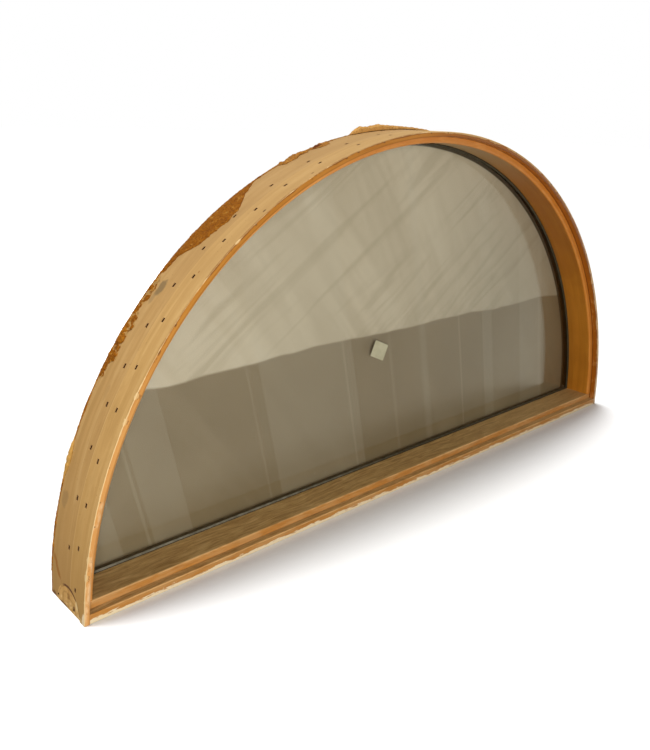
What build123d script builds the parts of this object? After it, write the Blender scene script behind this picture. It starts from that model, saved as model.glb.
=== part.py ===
from build123d import *
from math import asin, cos, degrees, radians, sin, sqrt
import os

# Fixed arched window taken out of its wall: bent wood frame, sealed glass unit, old mounting foam.
# Millimetres. X runs along the sill, Y from the room side to the weather side, Z is up.
# The origin lies on the underside of the sill, in the middle of its length and its depth.

# Frame as a whole
frame_width = 1508.0
frame_height = 715.0
frame_depth = 116.0

# Wood boards and stops
jamb_thickness = 9.0
sill_thickness = 16.5
stop_thickness = 12.0
stop_setback = 14.0
exterior_stop_depth = 16.5
board_edge_ease = 0.8
stop_nose_radius = 4.0
exterior_stop_bevel = 4.0
sill_stop_fall = 5.0
glue_gap = 0.15

# Sealed glass unit
pane_thickness = 3.0
air_space = 12.0
spacer_height = 6.0
sealant_height = 2.0
edge_clearance = 3.0

# Seals and blocks round the glass unit
interior_seal_thickness = 3.0
interior_seal_lip = 4.0
interior_seal_slope = 2.4
exterior_seal_thickness = 1.5
setting_block_height = 3.0
setting_block_length = 100.0
setting_block_place_share = 0.25
edge_block_length = 60.0
edge_block_turn_shares = (-0.55, -0.2, 0.2, 0.55)

# Flat-headed nails that hold the interior stops, driven from outside
stop_nail_head_length = 6.3
stop_nail_head_width = 2.4
stop_nail_head_height = 1.2
stop_nail_width = 1.8
stop_nail_sink = 1.8
stop_nail_bite = 8.0
slot_clearance = 0.4
front_row_inset = 18.0
rear_row_inset = 15.5
stop_nail_skew = 7.0

# Corner nails of square wire
nail_width = 2.6
nail_head_width = 4.4
nail_head_height = 1.5
nail_sink = 1.6
nail_bite = 40.0
corner_nail_depth_shares = (0.32, 0.79)

# Flake broken off the outer face of the left foot, deepest towards the room
flake_radius = 40.0
flake_sink = 0.6
flake_tilt = 1.2
flake_depth_share = 0.48

# Old mounting foam along the rear outer edge
foam_height = 12.0
foam_gap = 0.3

# Blank sticker on the room side of the glass
sticker_width = 42.0
sticker_height = 34.0
sticker_thickness = 0.3
sticker_turn = -25.0
sticker_x = -58.0
sticker_z = 285.0

# One overrun serves all cuts
cut_overrun = 5.0

# Stop nails along one half of the arch, as shares of the way from foot to crown
front_row_shares = (0.04, 0.10, 0.16, 0.22, 0.29, 0.35, 0.42, 0.49, 0.555, 0.62, 0.68, 0.75, 0.83, 0.90)
rear_row_shares = (0.09, 0.16, 0.23, 0.29, 0.345, 0.405, 0.47, 0.535, 0.60, 0.675, 0.75, 0.83, 0.90)

# Foam sections: way from the left foot to the crown, width in the depth, height in the foam height
foam_section_shares = {
    "foam_lower_left": (
        (0.314, 0.04, 0.10), (0.328, 0.11, 0.26), (0.341, 0.14, 0.30), (0.347, 0.25, 0.36),
        (0.357, 0.25, 0.40), (0.366, 0.13, 0.30), (0.378, 0.155, 0.28), (0.390, 0.20, 0.30),
        (0.405, 0.17, 0.26), (0.422, 0.14, 0.22), (0.439, 0.11, 0.20), (0.450, 0.165, 0.26),
        (0.462, 0.13, 0.20), (0.478, 0.07, 0.10),
    ),
    "foam_upper_left": (
        (0.482, 0.06, 0.12), (0.496, 0.105, 0.24), (0.512, 0.11, 0.28), (0.526, 0.24, 0.30),
        (0.539, 0.335, 0.30), (0.564, 0.41, 0.28), (0.588, 0.45, 0.27), (0.607, 0.42, 0.28),
        (0.622, 0.39, 0.27), (0.633, 0.30, 0.26), (0.648, 0.20, 0.24), (0.660, 0.13, 0.18),
        (0.676, 0.045, 0.12),
    ),
    "foam_shoulder": (
        (0.728, 0.05, 0.12), (0.735, 0.14, 0.34), (0.745, 0.15, 0.40), (0.757, 0.145, 0.46),
        (0.768, 0.12, 0.42), (0.779, 0.10, 0.32), (0.789, 0.06, 0.20), (0.796, 0.12, 0.32),
        (0.804, 0.15, 0.40), (0.814, 0.20, 0.30), (0.824, 0.17, 0.20), (0.829, 0.06, 0.10),
    ),
    "foam_crown": (
        (0.882, 0.03, 0.10), (0.890, 0.075, 0.62), (0.901, 0.08, 0.98), (0.920, 0.10, 0.84),
        (0.942, 0.14, 0.92), (0.960, 0.165, 0.68), (0.982, 0.17, 0.54), (1.005, 0.165, 0.42),
        (1.028, 0.165, 0.37), (1.052, 0.15, 0.32), (1.075, 0.12, 0.25), (1.097, 0.09, 0.18),
        (1.115, 0.04, 0.10),
    ),
}
foam_toe_share = 0.08
foam_ridge_share = 0.55
foam_brow_share = 0.75

# Sizes that follow from the ones above
half_width = frame_width / 2
front_face = -frame_depth / 2
rear_face = frame_depth / 2
outer_radius = (half_width**2 + frame_height**2) / (2 * frame_height)
axis_z = frame_height - outer_radius
foot_angle = degrees(asin(-axis_z / outer_radius))
jamb_inner_radius = outer_radius - jamb_thickness
stop_outer_radius = jamb_inner_radius - glue_gap
stop_inner_radius = jamb_inner_radius - stop_thickness
stop_top = sill_thickness + stop_thickness
exterior_stop_front = rear_face - exterior_stop_depth
unit_rear = exterior_stop_front - exterior_seal_thickness
air_rear = unit_rear - pane_thickness
air_front = air_rear - air_space
unit_front = air_front - pane_thickness
stop_rear = unit_front - interior_seal_thickness
stop_front = front_face + stop_setback
unit_radius = jamb_inner_radius - edge_clearance
unit_base = sill_thickness + setting_block_height
spacer_outer_radius = unit_radius - sealant_height
spacer_inner_radius = spacer_outer_radius - spacer_height
spacer_base = unit_base + sealant_height
spacer_top = spacer_base + spacer_height
front_row_y = stop_front + front_row_inset
rear_row_y = stop_rear - rear_row_inset
slot_depth = stop_nail_sink + stop_nail_head_height
crown_angle = 90.0
left_foot_angle = 2 * crown_angle - foot_angle
arch_axis = Axis((0, 0, axis_z), (0, 1, 0))


# Shapes that several pieces share

def arch_plate(radius, base, front, rear):
    """Plate under one arc about the arch axis, from a base height up."""
    half_chord = sqrt(radius**2 - (base - axis_z) ** 2)
    arc = ThreePointArc((-half_chord, base), (0, axis_z + radius), (half_chord, base))
    chord = Line((half_chord, base), (-half_chord, base))
    plane = Plane(origin=(0, front, 0), x_dir=(1, 0, 0), z_dir=(0, -1, 0))
    return extrude(plane * make_face([arc, chord]), amount=rear - front, dir=(0, 1, 0))


def section_plane(angle):
    """Plane through the arch axis; its x is the radius and its y the depth."""
    turn = radians(angle)
    return Plane(origin=(0, 0, axis_z), x_dir=(cos(turn), 0, sin(turn)), z_dir=(-sin(turn), 0, cos(turn)))


def ring_section(outer, inner, front, rear):
    """Rectangle of a bent board, radius by depth."""
    return Pos((outer + inner) / 2, (front + rear) / 2) * Rectangle(outer - inner, rear - front)


def corner(section, radius_side, depth_side):
    """Corner of a section on the given sides: 1 is outer or rear, -1 inner or front."""
    return max(section.vertices(), key=lambda v: radius_side * v.X + depth_side * v.Y)


def arch_ring(section, base):
    """Section turned about the arch axis and cut off level at a base height."""
    ring = revolve(section_plane(-crown_angle) * section, axis=arch_axis)
    return split(ring, bisect_by=Plane.XY.offset(base), keep=Keep.TOP)


def sill_bar(section):
    """Section in depth and height, run along the sill to the inner face of the jamb."""
    bar = extrude(Plane.YZ * section, amount=half_width, both=True)
    return bar & arch_plate(stop_outer_radius, 0, front_face - cut_overrun, rear_face + cut_overrun)


def on_arch(angle, depth, radius):
    """Place on the arch with z pointing outwards along the radius."""
    turn = radians(angle)
    return Pos(radius * cos(turn), depth, axis_z + radius * sin(turn)) * Rot(0, crown_angle - angle, 0)


def way_angle(way_share):
    """Angle of a place given as a share of the way from the left foot to the crown."""
    return left_foot_angle - way_share * (left_foot_angle - crown_angle)


# Fasteners and the room that they take in the wood

def pin(width, top, length):
    """Square wire along -z with its end at the given top."""
    return Pos(0, 0, top) * Box(width, width, length, align=(Align.CENTER, Align.CENTER, Align.MAX))


def stop_nail():
    """Nail through the jamb into the stop, its flat head along x and sunk below a surface at z zero."""
    head = Box(
        stop_nail_head_length, stop_nail_head_width, stop_nail_head_height,
        align=(Align.CENTER, Align.CENTER, Align.MAX))
    length = jamb_thickness + stop_nail_bite - stop_nail_sink
    return Pos(0, 0, -stop_nail_sink) * head + pin(stop_nail_width, -stop_nail_sink, length)


def nail_slot():
    """Slot that the driver leaves over the head of a stop nail."""
    length = stop_nail_head_length + 2 * slot_clearance
    width = stop_nail_head_width + 2 * slot_clearance
    slot = Box(length, width, slot_depth + cut_overrun, align=(Align.CENTER, Align.CENTER, Align.MIN))
    return Pos(0, 0, -slot_depth) * slot


def stop_nail_places():
    """Places of the stop nails in both rows, on both halves of the arch."""
    places = []
    for row_y, shares in ((front_row_y, front_row_shares), (rear_row_y, rear_row_shares)):
        for index, way_share in enumerate(shares):
            skew = stop_nail_skew * (1 if index % 2 else -1)
            left_angle = way_angle(way_share)
            for angle in (left_angle, 2 * crown_angle - left_angle):
                places.append(on_arch(angle, row_y, outer_radius) * Rot(0, 0, skew))
    return places


def corner_nail():
    """Nail with a small square head, sunk below a surface at z zero."""
    head = pin(nail_head_width, -nail_sink, nail_head_height)
    return head + pin(nail_width, -nail_sink, nail_head_height + jamb_thickness + nail_bite)


def corner_nail_hole():
    """Room for a nail, open at the surface."""
    mouth = pin(nail_head_width, cut_overrun, cut_overrun + nail_sink)
    return mouth + corner_nail()


def corner_nail_places():
    """Places of the nails in the jamb legs, pointing into the ends of the sill board."""
    height = sill_thickness / 2
    x = sqrt(outer_radius**2 - (height - axis_z) ** 2)
    places = []
    for depth_share in corner_nail_depth_shares:
        y = front_face + depth_share * frame_depth
        places.append(Pos(-x, y, height) * Rot(0, -90, 0))
        places.append(Pos(x, y, height) * Rot(0, 90, 0))
    return places


arch_stop_nails = [place * stop_nail() for place in stop_nail_places()]
arch_nail_slots = [place * nail_slot() for place in stop_nail_places()]
corner_nails = [place * corner_nail() for place in corner_nail_places()]
corner_nail_holes = [place * corner_nail_hole() for place in corner_nail_places()]


# Wood frame

def foot_flake():
    """Thin round flake that is missing from the outer face of the left foot."""
    y = front_face + flake_depth_share * frame_depth
    cutter = Cylinder(flake_radius, cut_overrun, align=(Align.CENTER, Align.CENTER, Align.MIN))
    place = on_arch(left_foot_angle, y, outer_radius - flake_sink) * Rot(flake_tilt, 0, 0)
    return place * cutter


def arch_jamb():
    """Thin bent jamb with its slots, down to the underside at both feet."""
    section = ring_section(outer_radius, jamb_inner_radius, front_face, rear_face)
    section = chamfer(corner(section, 1, -1), board_edge_ease)
    jamb = arch_ring(section, 0) - foot_flake()
    return jamb - arch_nail_slots - arch_stop_nails - corner_nail_holes


def sill_board():
    """Flat board between the feet of the jamb."""
    section = Pos(0, sill_thickness / 2) * Rectangle(frame_depth, sill_thickness)
    section = chamfer(section.vertices(), board_edge_ease)
    return sill_bar(section) - corner_nail_holes


def arch_interior_stop():
    """Bent stop inside the jamb, with a rounded nose towards the room."""
    section = ring_section(stop_outer_radius, stop_inner_radius, stop_front, stop_rear)
    section = fillet(corner(section, -1, -1), stop_nose_radius)
    return arch_ring(section, stop_top) - arch_stop_nails


def sill_interior_stop():
    """Straight stop on the sill with the same nose, under the feet of the arch stop."""
    middle = Pos((stop_front + stop_rear) / 2, (sill_thickness + stop_top) / 2)
    section = middle * Rectangle(stop_rear - stop_front, stop_thickness)
    section = fillet(corner(section, -1, 1), stop_nose_radius)
    return sill_bar(section)


def sill_exterior_stop():
    """Straight stop on the weather side, with a top that falls outwards."""
    outline = Polyline(
        (exterior_stop_front, sill_thickness),
        (rear_face, sill_thickness),
        (rear_face, stop_top - sill_stop_fall),
        (exterior_stop_front, stop_top),
        close=True,
    )
    return sill_bar(make_face(outline.edges()))


def arch_exterior_stop(sill_stop):
    """Bent stop on the weather side, bevelled, cut to stand on the sloped sill stop."""
    section = ring_section(stop_outer_radius, stop_inner_radius, exterior_stop_front, rear_face)
    section = chamfer(corner(section, -1, 1), exterior_stop_bevel)
    return arch_ring(section, sill_thickness) - sill_stop


# Sealed glass unit

def pane(front):
    """Sheet of glass, arched like the frame."""
    return arch_plate(unit_radius, unit_base, front, front + pane_thickness)


def spacer_bar():
    """Bar bent round the edge of the air space."""
    bar = arch_plate(spacer_outer_radius, spacer_base, air_front, air_rear)
    return bar - arch_plate(spacer_inner_radius, spacer_top, air_front, air_rear)


def edge_sealant():
    """Second seal round the spacer, flush with the edges of the panes."""
    seal = arch_plate(unit_radius, unit_base, air_front, air_rear)
    return seal - arch_plate(spacer_outer_radius, spacer_base, air_front, air_rear)


# Seals and blocks round the glass unit

def interior_seal():
    """Sealant between interior stop and glass, with a sloped lip that shows on the glass."""
    lip_radius = stop_inner_radius - interior_seal_lip
    lip_top = stop_top + interior_seal_lip
    seal = arch_plate(unit_radius, unit_base, stop_rear, unit_front)
    seal -= arch_plate(lip_radius, lip_top, stop_rear, unit_front)
    room_face = seal.faces().sort_by(Axis.Y)[0]
    return chamfer(room_face.inner_wires()[0].edges(), interior_seal_slope)


def exterior_seal():
    """Sealant between glass and exterior stop."""
    seal = arch_plate(unit_radius, unit_base, unit_rear, exterior_stop_front)
    return seal - arch_plate(stop_inner_radius, stop_top, unit_rear, exterior_stop_front)


def setting_blocks():
    """Two blocks that carry the glass unit on the sill."""
    block = Box(
        setting_block_length, unit_rear - unit_front, setting_block_height,
        align=(Align.CENTER, Align.CENTER, Align.MIN))
    middle = (unit_front + unit_rear) / 2
    place = setting_block_place_share * frame_width
    return [Pos(x, middle, sill_thickness) * block for x in (-place, place)]


def edge_blocks():
    """Short curved blocks that centre the glass unit in the arch."""
    section = ring_section(stop_outer_radius, unit_radius + glue_gap, unit_front, unit_rear)
    turn = degrees(edge_block_length / unit_radius)
    blocks = []
    for turn_share in edge_block_turn_shares:
        start = (1 + turn_share) * crown_angle - turn / 2
        blocks.append(revolve(section_plane(start) * section, axis=arch_axis.reverse(), revolution_arc=turn))
    return blocks


# Old foam and the sticker

def foam_outline(way_share, width_share, height_share):
    """Corners of the foam at one place, just clear of the outer face of the jamb."""
    width = width_share * frame_depth
    height = height_share * foam_height
    toe = rear_face - width
    root = outer_radius + foam_gap
    corners = (
        (root, toe),
        (root + foam_brow_share * height, toe + foam_toe_share * width),
        (root + height, toe + foam_ridge_share * width),
        (root + foam_brow_share * height, rear_face),
        (root, rear_face),
    )
    plane = section_plane(way_angle(way_share))
    return [plane.from_local_coords(Vector(*point)) for point in corners]


def facet(*corners):
    """Flat face between the given corners."""
    return Face(Wire.make_polygon(corners))


def foam_remains(section_shares):
    """Ragged strip of foam along the rear outer edge of the jamb, broken in flat facets."""
    outlines = [foam_outline(*shares) for shares in section_shares]
    facets = [facet(*outlines[0]), facet(*outlines[-1])]
    for here, next_one in zip(outlines, outlines[1:]):
        for index in range(len(here)):
            facets.append(facet(here[index - 1], here[index], next_one[index]))
            facets.append(facet(here[index - 1], next_one[index], next_one[index - 1]))
    return Solid(Shell(facets))


def glass_sticker():
    """Small blank sticker on the room side of the inner pane."""
    sheet = Box(
        sticker_width, sticker_thickness, sticker_height,
        align=(Align.CENTER, Align.MAX, Align.CENTER))
    return Pos(sticker_x, unit_front, sticker_z) * Rot(0, -sticker_turn, 0) * sheet


# All pieces under their names
outer_sill_stop = sill_exterior_stop()
pieces = {
    "arch_jamb": arch_jamb(),
    "sill_board": sill_board(),
    "arch_interior_stop": arch_interior_stop(),
    "sill_interior_stop": sill_interior_stop(),
    "arch_exterior_stop": arch_exterior_stop(outer_sill_stop),
    "sill_exterior_stop": outer_sill_stop,
    "inner_pane": pane(unit_front),
    "outer_pane": pane(air_rear),
    "spacer_bar": spacer_bar(),
    "edge_sealant": edge_sealant(),
    "interior_seal": interior_seal(),
    "exterior_seal": exterior_seal(),
    "setting_blocks": Compound(setting_blocks()),
    "edge_blocks": Compound(edge_blocks()),
    "arch_stop_nails": Compound(arch_stop_nails),
    "corner_nails": Compound(corner_nails),
    "glass_sticker": glass_sticker(),
}
for foam_name, section_shares in foam_section_shares.items():
    pieces[foam_name] = foam_remains(section_shares)

os.makedirs("parts", exist_ok=True)
for name, shape in pieces.items():
    export_step(shape, f"parts/{name}.step")
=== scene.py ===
import math

import bmesh
import bpy
from mathutils import Matrix, Vector, noise

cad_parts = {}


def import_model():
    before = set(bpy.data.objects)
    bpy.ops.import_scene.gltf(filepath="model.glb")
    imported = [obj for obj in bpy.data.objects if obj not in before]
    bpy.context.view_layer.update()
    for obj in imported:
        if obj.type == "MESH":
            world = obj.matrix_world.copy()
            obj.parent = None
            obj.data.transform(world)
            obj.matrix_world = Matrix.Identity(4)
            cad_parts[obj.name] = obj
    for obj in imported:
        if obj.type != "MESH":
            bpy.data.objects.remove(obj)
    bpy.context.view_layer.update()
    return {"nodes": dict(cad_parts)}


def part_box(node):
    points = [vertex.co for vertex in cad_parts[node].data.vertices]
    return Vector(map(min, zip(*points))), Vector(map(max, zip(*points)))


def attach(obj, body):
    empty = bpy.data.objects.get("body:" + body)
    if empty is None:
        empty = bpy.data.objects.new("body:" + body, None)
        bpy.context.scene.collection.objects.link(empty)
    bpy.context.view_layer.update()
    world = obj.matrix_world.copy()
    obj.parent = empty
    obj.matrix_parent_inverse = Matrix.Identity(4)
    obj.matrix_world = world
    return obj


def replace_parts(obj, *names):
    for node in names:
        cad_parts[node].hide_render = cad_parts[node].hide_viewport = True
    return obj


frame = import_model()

# Arched window: finishes of the wood, glass and seals, crumbled foam, floor, light and camera.
# Metres. X runs along the sill, Y from the room side to the weather side, Z is up.

nodes = frame["nodes"]
mm = 0.001

# Sizes read from the frame
jamb_low, jamb_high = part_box("arch_jamb")
stop_low, stop_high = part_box("arch_interior_stop")
sill_stop_low, sill_stop_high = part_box("sill_interior_stop")
spacer_low, spacer_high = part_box("spacer_bar")
sill_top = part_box("sill_board")[1].z
half_width = jamb_high.x
crown_height = jamb_high.z
outer_radius = (half_width**2 + crown_height**2) / (2 * crown_height)
axis_z = crown_height - outer_radius
front_y = jamb_low.y
rear_y = jamb_high.y
frame_depth = rear_y - front_y
rim_radius = spacer_high.z - axis_z
jamb_thickness = crown_height - stop_high.z
stop_thickness = sill_stop_high.z - sill_stop_low.z
stop_inner_radius = stop_high.z - axis_z - stop_thickness
stop_setback = stop_low.y - front_y

# Camera, found from the corners and arcs of the frame
camera_place = Vector((-1.1227, -0.9645, 0.7294))
camera_turn = Vector((1.818, -0.677, 0.5269))
camera_near = 0.05
focal_pixels = 738.4
image_height = 750
sensor_width = 36.0

# Light: even surroundings, a broad light from above, a soft lamp at the left of the camera and one behind
world_strength = 0.18
top_strength = 2.7
top_softness = math.radians(15)
top_direction = Vector((0.14, -0.15, -0.98))
lamp_place = Vector((-1.5, -2.1, 0.55))
lamp_aim = Vector((-0.35, 0.0, 0.3))
lamp_power = 46.0
rear_lamp_place = Vector((0.0, 2.4, 0.6))
rear_lamp_aim = Vector((0.0, 0.0, 0.3))
rear_lamp_power = 34.0
lamp_size = 1.2
floor_reach = 30.0
floor_drop = 0.2 * mm
floor_bounce = 0.25
white = (1.0, 1.0, 1.0, 1.0)


def rgb(red, green, blue):
    """Colour as seen on a screen, 0 to 255, turned into light."""
    def light(value):
        share = value / 255
        return share / 12.92 if share <= 0.04045 else ((share + 0.055) / 1.055) ** 2.4
    return (light(red), light(green), light(blue), 1.0)


def arc(degrees):
    """Way along the outer face to an angle, counted from the right end of the arch's axis."""
    return math.radians(degrees) * outer_radius


class Shader:
    """Node tree of one material, written as calls."""

    def __init__(self, name):
        self.material = bpy.data.materials.new(name)
        self.material.use_nodes = True
        self.tree = self.material.node_tree
        self.tree.nodes.clear()

    def add(self, kind, **settings):
        node = self.tree.nodes.new(kind)
        for key, value in settings.items():
            setattr(node, key, value)
        return node

    def put(self, socket, value):
        """Link another socket to this one, or set a plain value."""
        if isinstance(value, bpy.types.NodeSocket):
            self.tree.links.new(value, socket)
        elif value is not None:
            socket.default_value = value

    def math(self, operation, *values):
        node = self.add("ShaderNodeMath", operation=operation)
        for socket, value in zip(node.inputs, values):
            self.put(socket, value)
        return node.outputs[0]

    def chain(self, operation, values):
        """One operation over several values, from the first to the last."""
        result = values[0]
        for value in values[1:]:
            result = self.math(operation, result, value)
        return result

    def times(self, *values):
        """Product of several values."""
        return self.chain("MULTIPLY", values)

    def plus(self, *values):
        """Sum of several values."""
        return self.chain("ADD", values)

    def most(self, *values):
        """Largest of several values."""
        return self.chain("MAXIMUM", values)

    def minus(self, first, second):
        return self.math("SUBTRACT", first, second)

    def other(self, value):
        """One less a value."""
        return self.minus(1.0, value)

    def swing(self, value, size):
        """A noise of mean one half, turned into a shift either way."""
        return self.times(self.minus(value, 0.5), size)

    def step(self, value, low, high):
        """Smooth step from 0 at low to 1 at high."""
        node = self.add("ShaderNodeMapRange", interpolation_type="SMOOTHSTEP")
        for name, number in (("Value", value), ("From Min", low), ("From Max", high)):
            self.put(node.inputs[name], number)
        return node.outputs["Result"]

    def between(self, value, low, high, soft):
        """1 between low and high, with soft edges."""
        rise = self.step(value, low - soft, low + soft)
        fall = self.step(value, high + soft, high - soft)
        return self.times(rise, fall)

    def distance(self, u, v, middle, reach=(1.0, 1.0)):
        """Distance from a middle, in shares of a reach each way."""
        across = self.math("DIVIDE", self.minus(u, middle[0]), reach[0])
        up = self.math("DIVIDE", self.minus(v, middle[1]), reach[1])
        return self.math("SQRT", self.plus(self.times(across, across), self.times(up, up)))

    def patch(self, u, v, middle, reach, wobble):
        """1 inside an ellipse about a middle, with a soft and uneven edge."""
        far = self.plus(self.distance(u, v, middle, reach), wobble)
        return self.step(far, 1.2, 0.7)

    def split(self, vector):
        node = self.add("ShaderNodeSeparateXYZ")
        self.put(node.inputs[0], vector)
        return node.outputs[0], node.outputs[1], node.outputs[2]

    def join(self, x, y, z):
        node = self.add("ShaderNodeCombineXYZ")
        for socket, value in zip(node.inputs, (x, y, z)):
            self.put(socket, value)
        return node.outputs[0]

    def stretch(self, vector, x, y, z):
        """Vector with each part scaled by its own factor."""
        node = self.add("ShaderNodeVectorMath", operation="MULTIPLY")
        self.put(node.inputs[0], vector)
        self.put(node.inputs[1], (x, y, z))
        return node.outputs[0]

    def noise(self, vector, scale, detail=3.0, rough=0.5, bend=0.0):
        node = self.add("ShaderNodeTexNoise")
        for name, value in (("Vector", vector), ("Scale", scale), ("Detail", detail),
                            ("Roughness", rough), ("Distortion", bend)):
            self.put(node.inputs[name], value)
        return node.outputs["Fac"]

    def drawn(self, vector, along, across, detail, rough=0.5, bend=0.0):
        """Noise with one scale along x and another across it."""
        return self.noise(self.stretch(vector, along, across, across), 1.0, detail, rough, bend)

    def cells(self, vector, scale):
        """Distance to the nearest point of a scatter."""
        node = self.add("ShaderNodeTexVoronoi")
        self.put(node.inputs["Vector"], vector)
        self.put(node.inputs["Scale"], scale)
        return node.outputs["Distance"]

    def mix(self, share, first, second):
        """Colour between two colours."""
        node = self.add("ShaderNodeMix", data_type="RGBA")
        self.put(node.inputs[0], share)
        self.put(node.inputs[6], first)
        self.put(node.inputs[7], second)
        return node.outputs[2]

    def tint(self, colour, where, share, tone):
        """Colour with a share of another tone where a mask is 1."""
        return self.mix(self.times(where, share), colour, tone)

    def ramp(self, share, *stops):
        """Colour from a row of (place, colour) stops."""
        node = self.add("ShaderNodeValToRGB")
        elements = node.color_ramp.elements
        while len(elements) < len(stops):
            elements.new(0.5)
        for element, (place, colour) in zip(elements, stops):
            element.position = place
            element.color = colour
        self.put(node.inputs[0], share)
        return node.outputs[0]

    def bump(self, height, distance, strength):
        node = self.add("ShaderNodeBump")
        for name, value in (("Height", height), ("Distance", distance), ("Strength", strength)):
            self.put(node.inputs[name], value)
        return node.outputs[0]

    def blend(self, share, first, second):
        """Mix of two shaders."""
        node = self.add("ShaderNodeMixShader")
        for socket, value in zip(node.inputs, (share, first, second)):
            self.put(socket, value)
        return node.outputs[0]

    def surface(self, **inputs):
        """Principled surface as the material's output; names use _ for a space."""
        node = self.add("ShaderNodeBsdfPrincipled")
        for name, value in inputs.items():
            self.put(node.inputs[name.replace("_", " ")], value)
        self.show(node.outputs[0])

    def show(self, shader):
        output = self.add("ShaderNodeOutputMaterial")
        self.tree.links.new(shader, output.inputs["Surface"])


class ArchSpace:
    """Way along the arch, depth and radius of the shaded point, and which way its face looks."""

    def __init__(self, shader):
        self.shader = shader
        self.place = shader.add("ShaderNodeTexCoord").outputs["Object"]
        self.x, self.y, self.z = shader.split(self.place)
        rise = shader.minus(self.z, axis_z)
        square = shader.plus(shader.times(self.x, self.x), shader.times(rise, rise))
        self.radius = shader.math("SQRT", square)
        self.turn = shader.math("ARCTAN2", rise, self.x)
        self.way = shader.times(self.turn, outer_radius)
        self.vector = shader.join(self.way, self.y, self.radius)
        self.under_face = shader.minus(outer_radius, self.radius)
        self.near_front = shader.minus(self.y, front_y)
        normal = shader.add("ShaderNodeNewGeometry").outputs["True Normal"]
        normal_x, self.normal_y, normal_z = shader.split(normal)
        across = shader.times(normal_x, self.x)
        up = shader.times(normal_z, rise)
        self.outward = shader.math("DIVIDE", shader.plus(across, up), self.radius)

    def beyond(self, low, high):
        """Smooth step by the angle, from 0 at low to 1 at high, in degrees."""
        return self.shader.step(self.turn, math.radians(low), math.radians(high))

    def sector(self, low, high, soft):
        """1 between two angles, with soft ends, in degrees."""
        return self.shader.between(self.turn, math.radians(low), math.radians(high), math.radians(soft))


# Wood

def grain(shader, vector, along, across, bend=0.6):
    """Two layers of wood grain: broad streaks and fine pores, both drawn out along x."""
    streaks = shader.drawn(vector, along, across, 4.0, 0.6, bend)
    pores = shader.drawn(vector, 4 * along, 9 * across, 2.0, 0.6, 0.2)
    return streaks, pores


def bare_wood(shader, vector, streaks, pores):
    """Colour of unfinished wood, smooth and handled."""
    blotch = shader.drawn(vector, 5.0, 16.0, 4.0, 0.6, 0.4)
    mottle = shader.drawn(vector, 38.0, 95.0, 4.0, 0.65)
    colour = shader.ramp(
        streaks, (0.30, rgb(171, 130, 73)), (0.48, rgb(190, 148, 89)), (0.68, rgb(206, 167, 108)))
    colour = shader.tint(colour, shader.step(blotch, 0.48, 0.7), 0.6, rgb(167, 127, 73))
    colour = shader.tint(colour, shader.step(blotch, 0.46, 0.3), 0.5, rgb(208, 170, 114))
    colour = shader.tint(colour, shader.step(mottle, 0.5, 0.7), 0.35, rgb(164, 124, 70))
    return shader.tint(colour, shader.step(pores, 0.56, 0.74), 0.35, rgb(148, 108, 56))


def stained_wood(shader, vector, streaks, pores):
    """Colour of orange stained wood under old varnish."""
    blotch = shader.noise(vector, 7.0, 2.0, 0.5)
    colour = shader.ramp(
        streaks, (0.28, rgb(168, 102, 26)), (0.5, rgb(186, 118, 36)), (0.72, rgb(202, 135, 52)))
    colour = shader.tint(colour, shader.step(blotch, 0.45, 0.75), 0.35, rgb(168, 98, 24))
    return shader.tint(colour, shader.step(pores, 0.55, 0.72), 0.25, rgb(136, 80, 20))


# Painted shade at the nail slots, a little larger than the slots, and the depth and reach of one nail head
slot_shade_length = 7.4 * mm
slot_shade_width = 5.2 * mm
nail_head_depth = 2.2 * mm
nail_head_reach = 10 * mm


def nail_rows():
    """Depth of each row of stop nails, and the ways of its nails from the crown, taken from the left half."""
    heads = []
    for vertex in nodes["arch_stop_nails"].data.vertices:
        spoke = Vector((vertex.co.x, vertex.co.z - axis_z))
        if vertex.co.x > nail_head_reach or spoke.length < outer_radius - nail_head_depth:
            continue
        place = Vector((spoke.angle(Vector((0.0, 1.0))) * outer_radius, vertex.co.y))
        near = [head for head in heads if (head[0] - place).length < nail_head_reach]
        if near:
            near[0].append(place)
        else:
            heads.append([place])
    middles = [sum(head, Vector((0.0, 0.0))) / len(head) for head in heads]
    divide = sum(middle.y for middle in middles) / len(middles)
    front = [middle for middle in middles if middle.y < divide]
    rear = [middle for middle in middles if middle.y >= divide]
    rows = []
    for row in (front, rear):
        depth = sum(middle.y for middle in row) / len(row)
        rows.append((depth, [middle.x for middle in row]))
    return rows


# Shades of the jamb's outer face by height: none, full, strength and colour
outside_shades = (
    (0.30, 0.0, 0.55, rgb(162, 118, 54)),
    (0.12, 0.02, 0.3, rgb(154, 108, 40)),
    (0.26, 0.70, 0.5, rgb(172, 137, 92)),
)

# Seam there, as a share of the depth and pale below a height, and the resin streak by angle and depth
seam_share = 0.42
seam_width = 1.0 * mm
seam_dark_height = 0.42
seam_pale_height = 0.30
streak_start = (171.6, 52 * mm)
streak_end = (174.1, 20 * mm)
streak_middle = 20 * mm
streak_reach = (27 * mm, 4.2 * mm)

# Single stains there: angle, depth, reach along and across, strength and colour
outside_stains = (
    (164.2, 40 * mm, 13 * mm, 10 * mm, 0.45, rgb(140, 110, 70)),
    (137.0, 29 * mm, 15 * mm, 9 * mm, 0.8, rgb(122, 100, 66)),
    (138.4, 33 * mm, 12 * mm, 5 * mm, 0.5, rgb(140, 114, 76)),
    (150.5, 18 * mm, 16 * mm, 5 * mm, 0.3, rgb(150, 114, 66)),
    (123.0, -48 * mm, 3.5 * mm, 1.6 * mm, 0.9, rgb(70, 40, 18)),
    (114.5, -46 * mm, 3 * mm, 1.4 * mm, 0.8, rgb(86, 50, 22)),
    (133.6, -30 * mm, 2 * mm, 1.5 * mm, 0.7, rgb(150, 92, 40)),
)


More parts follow.
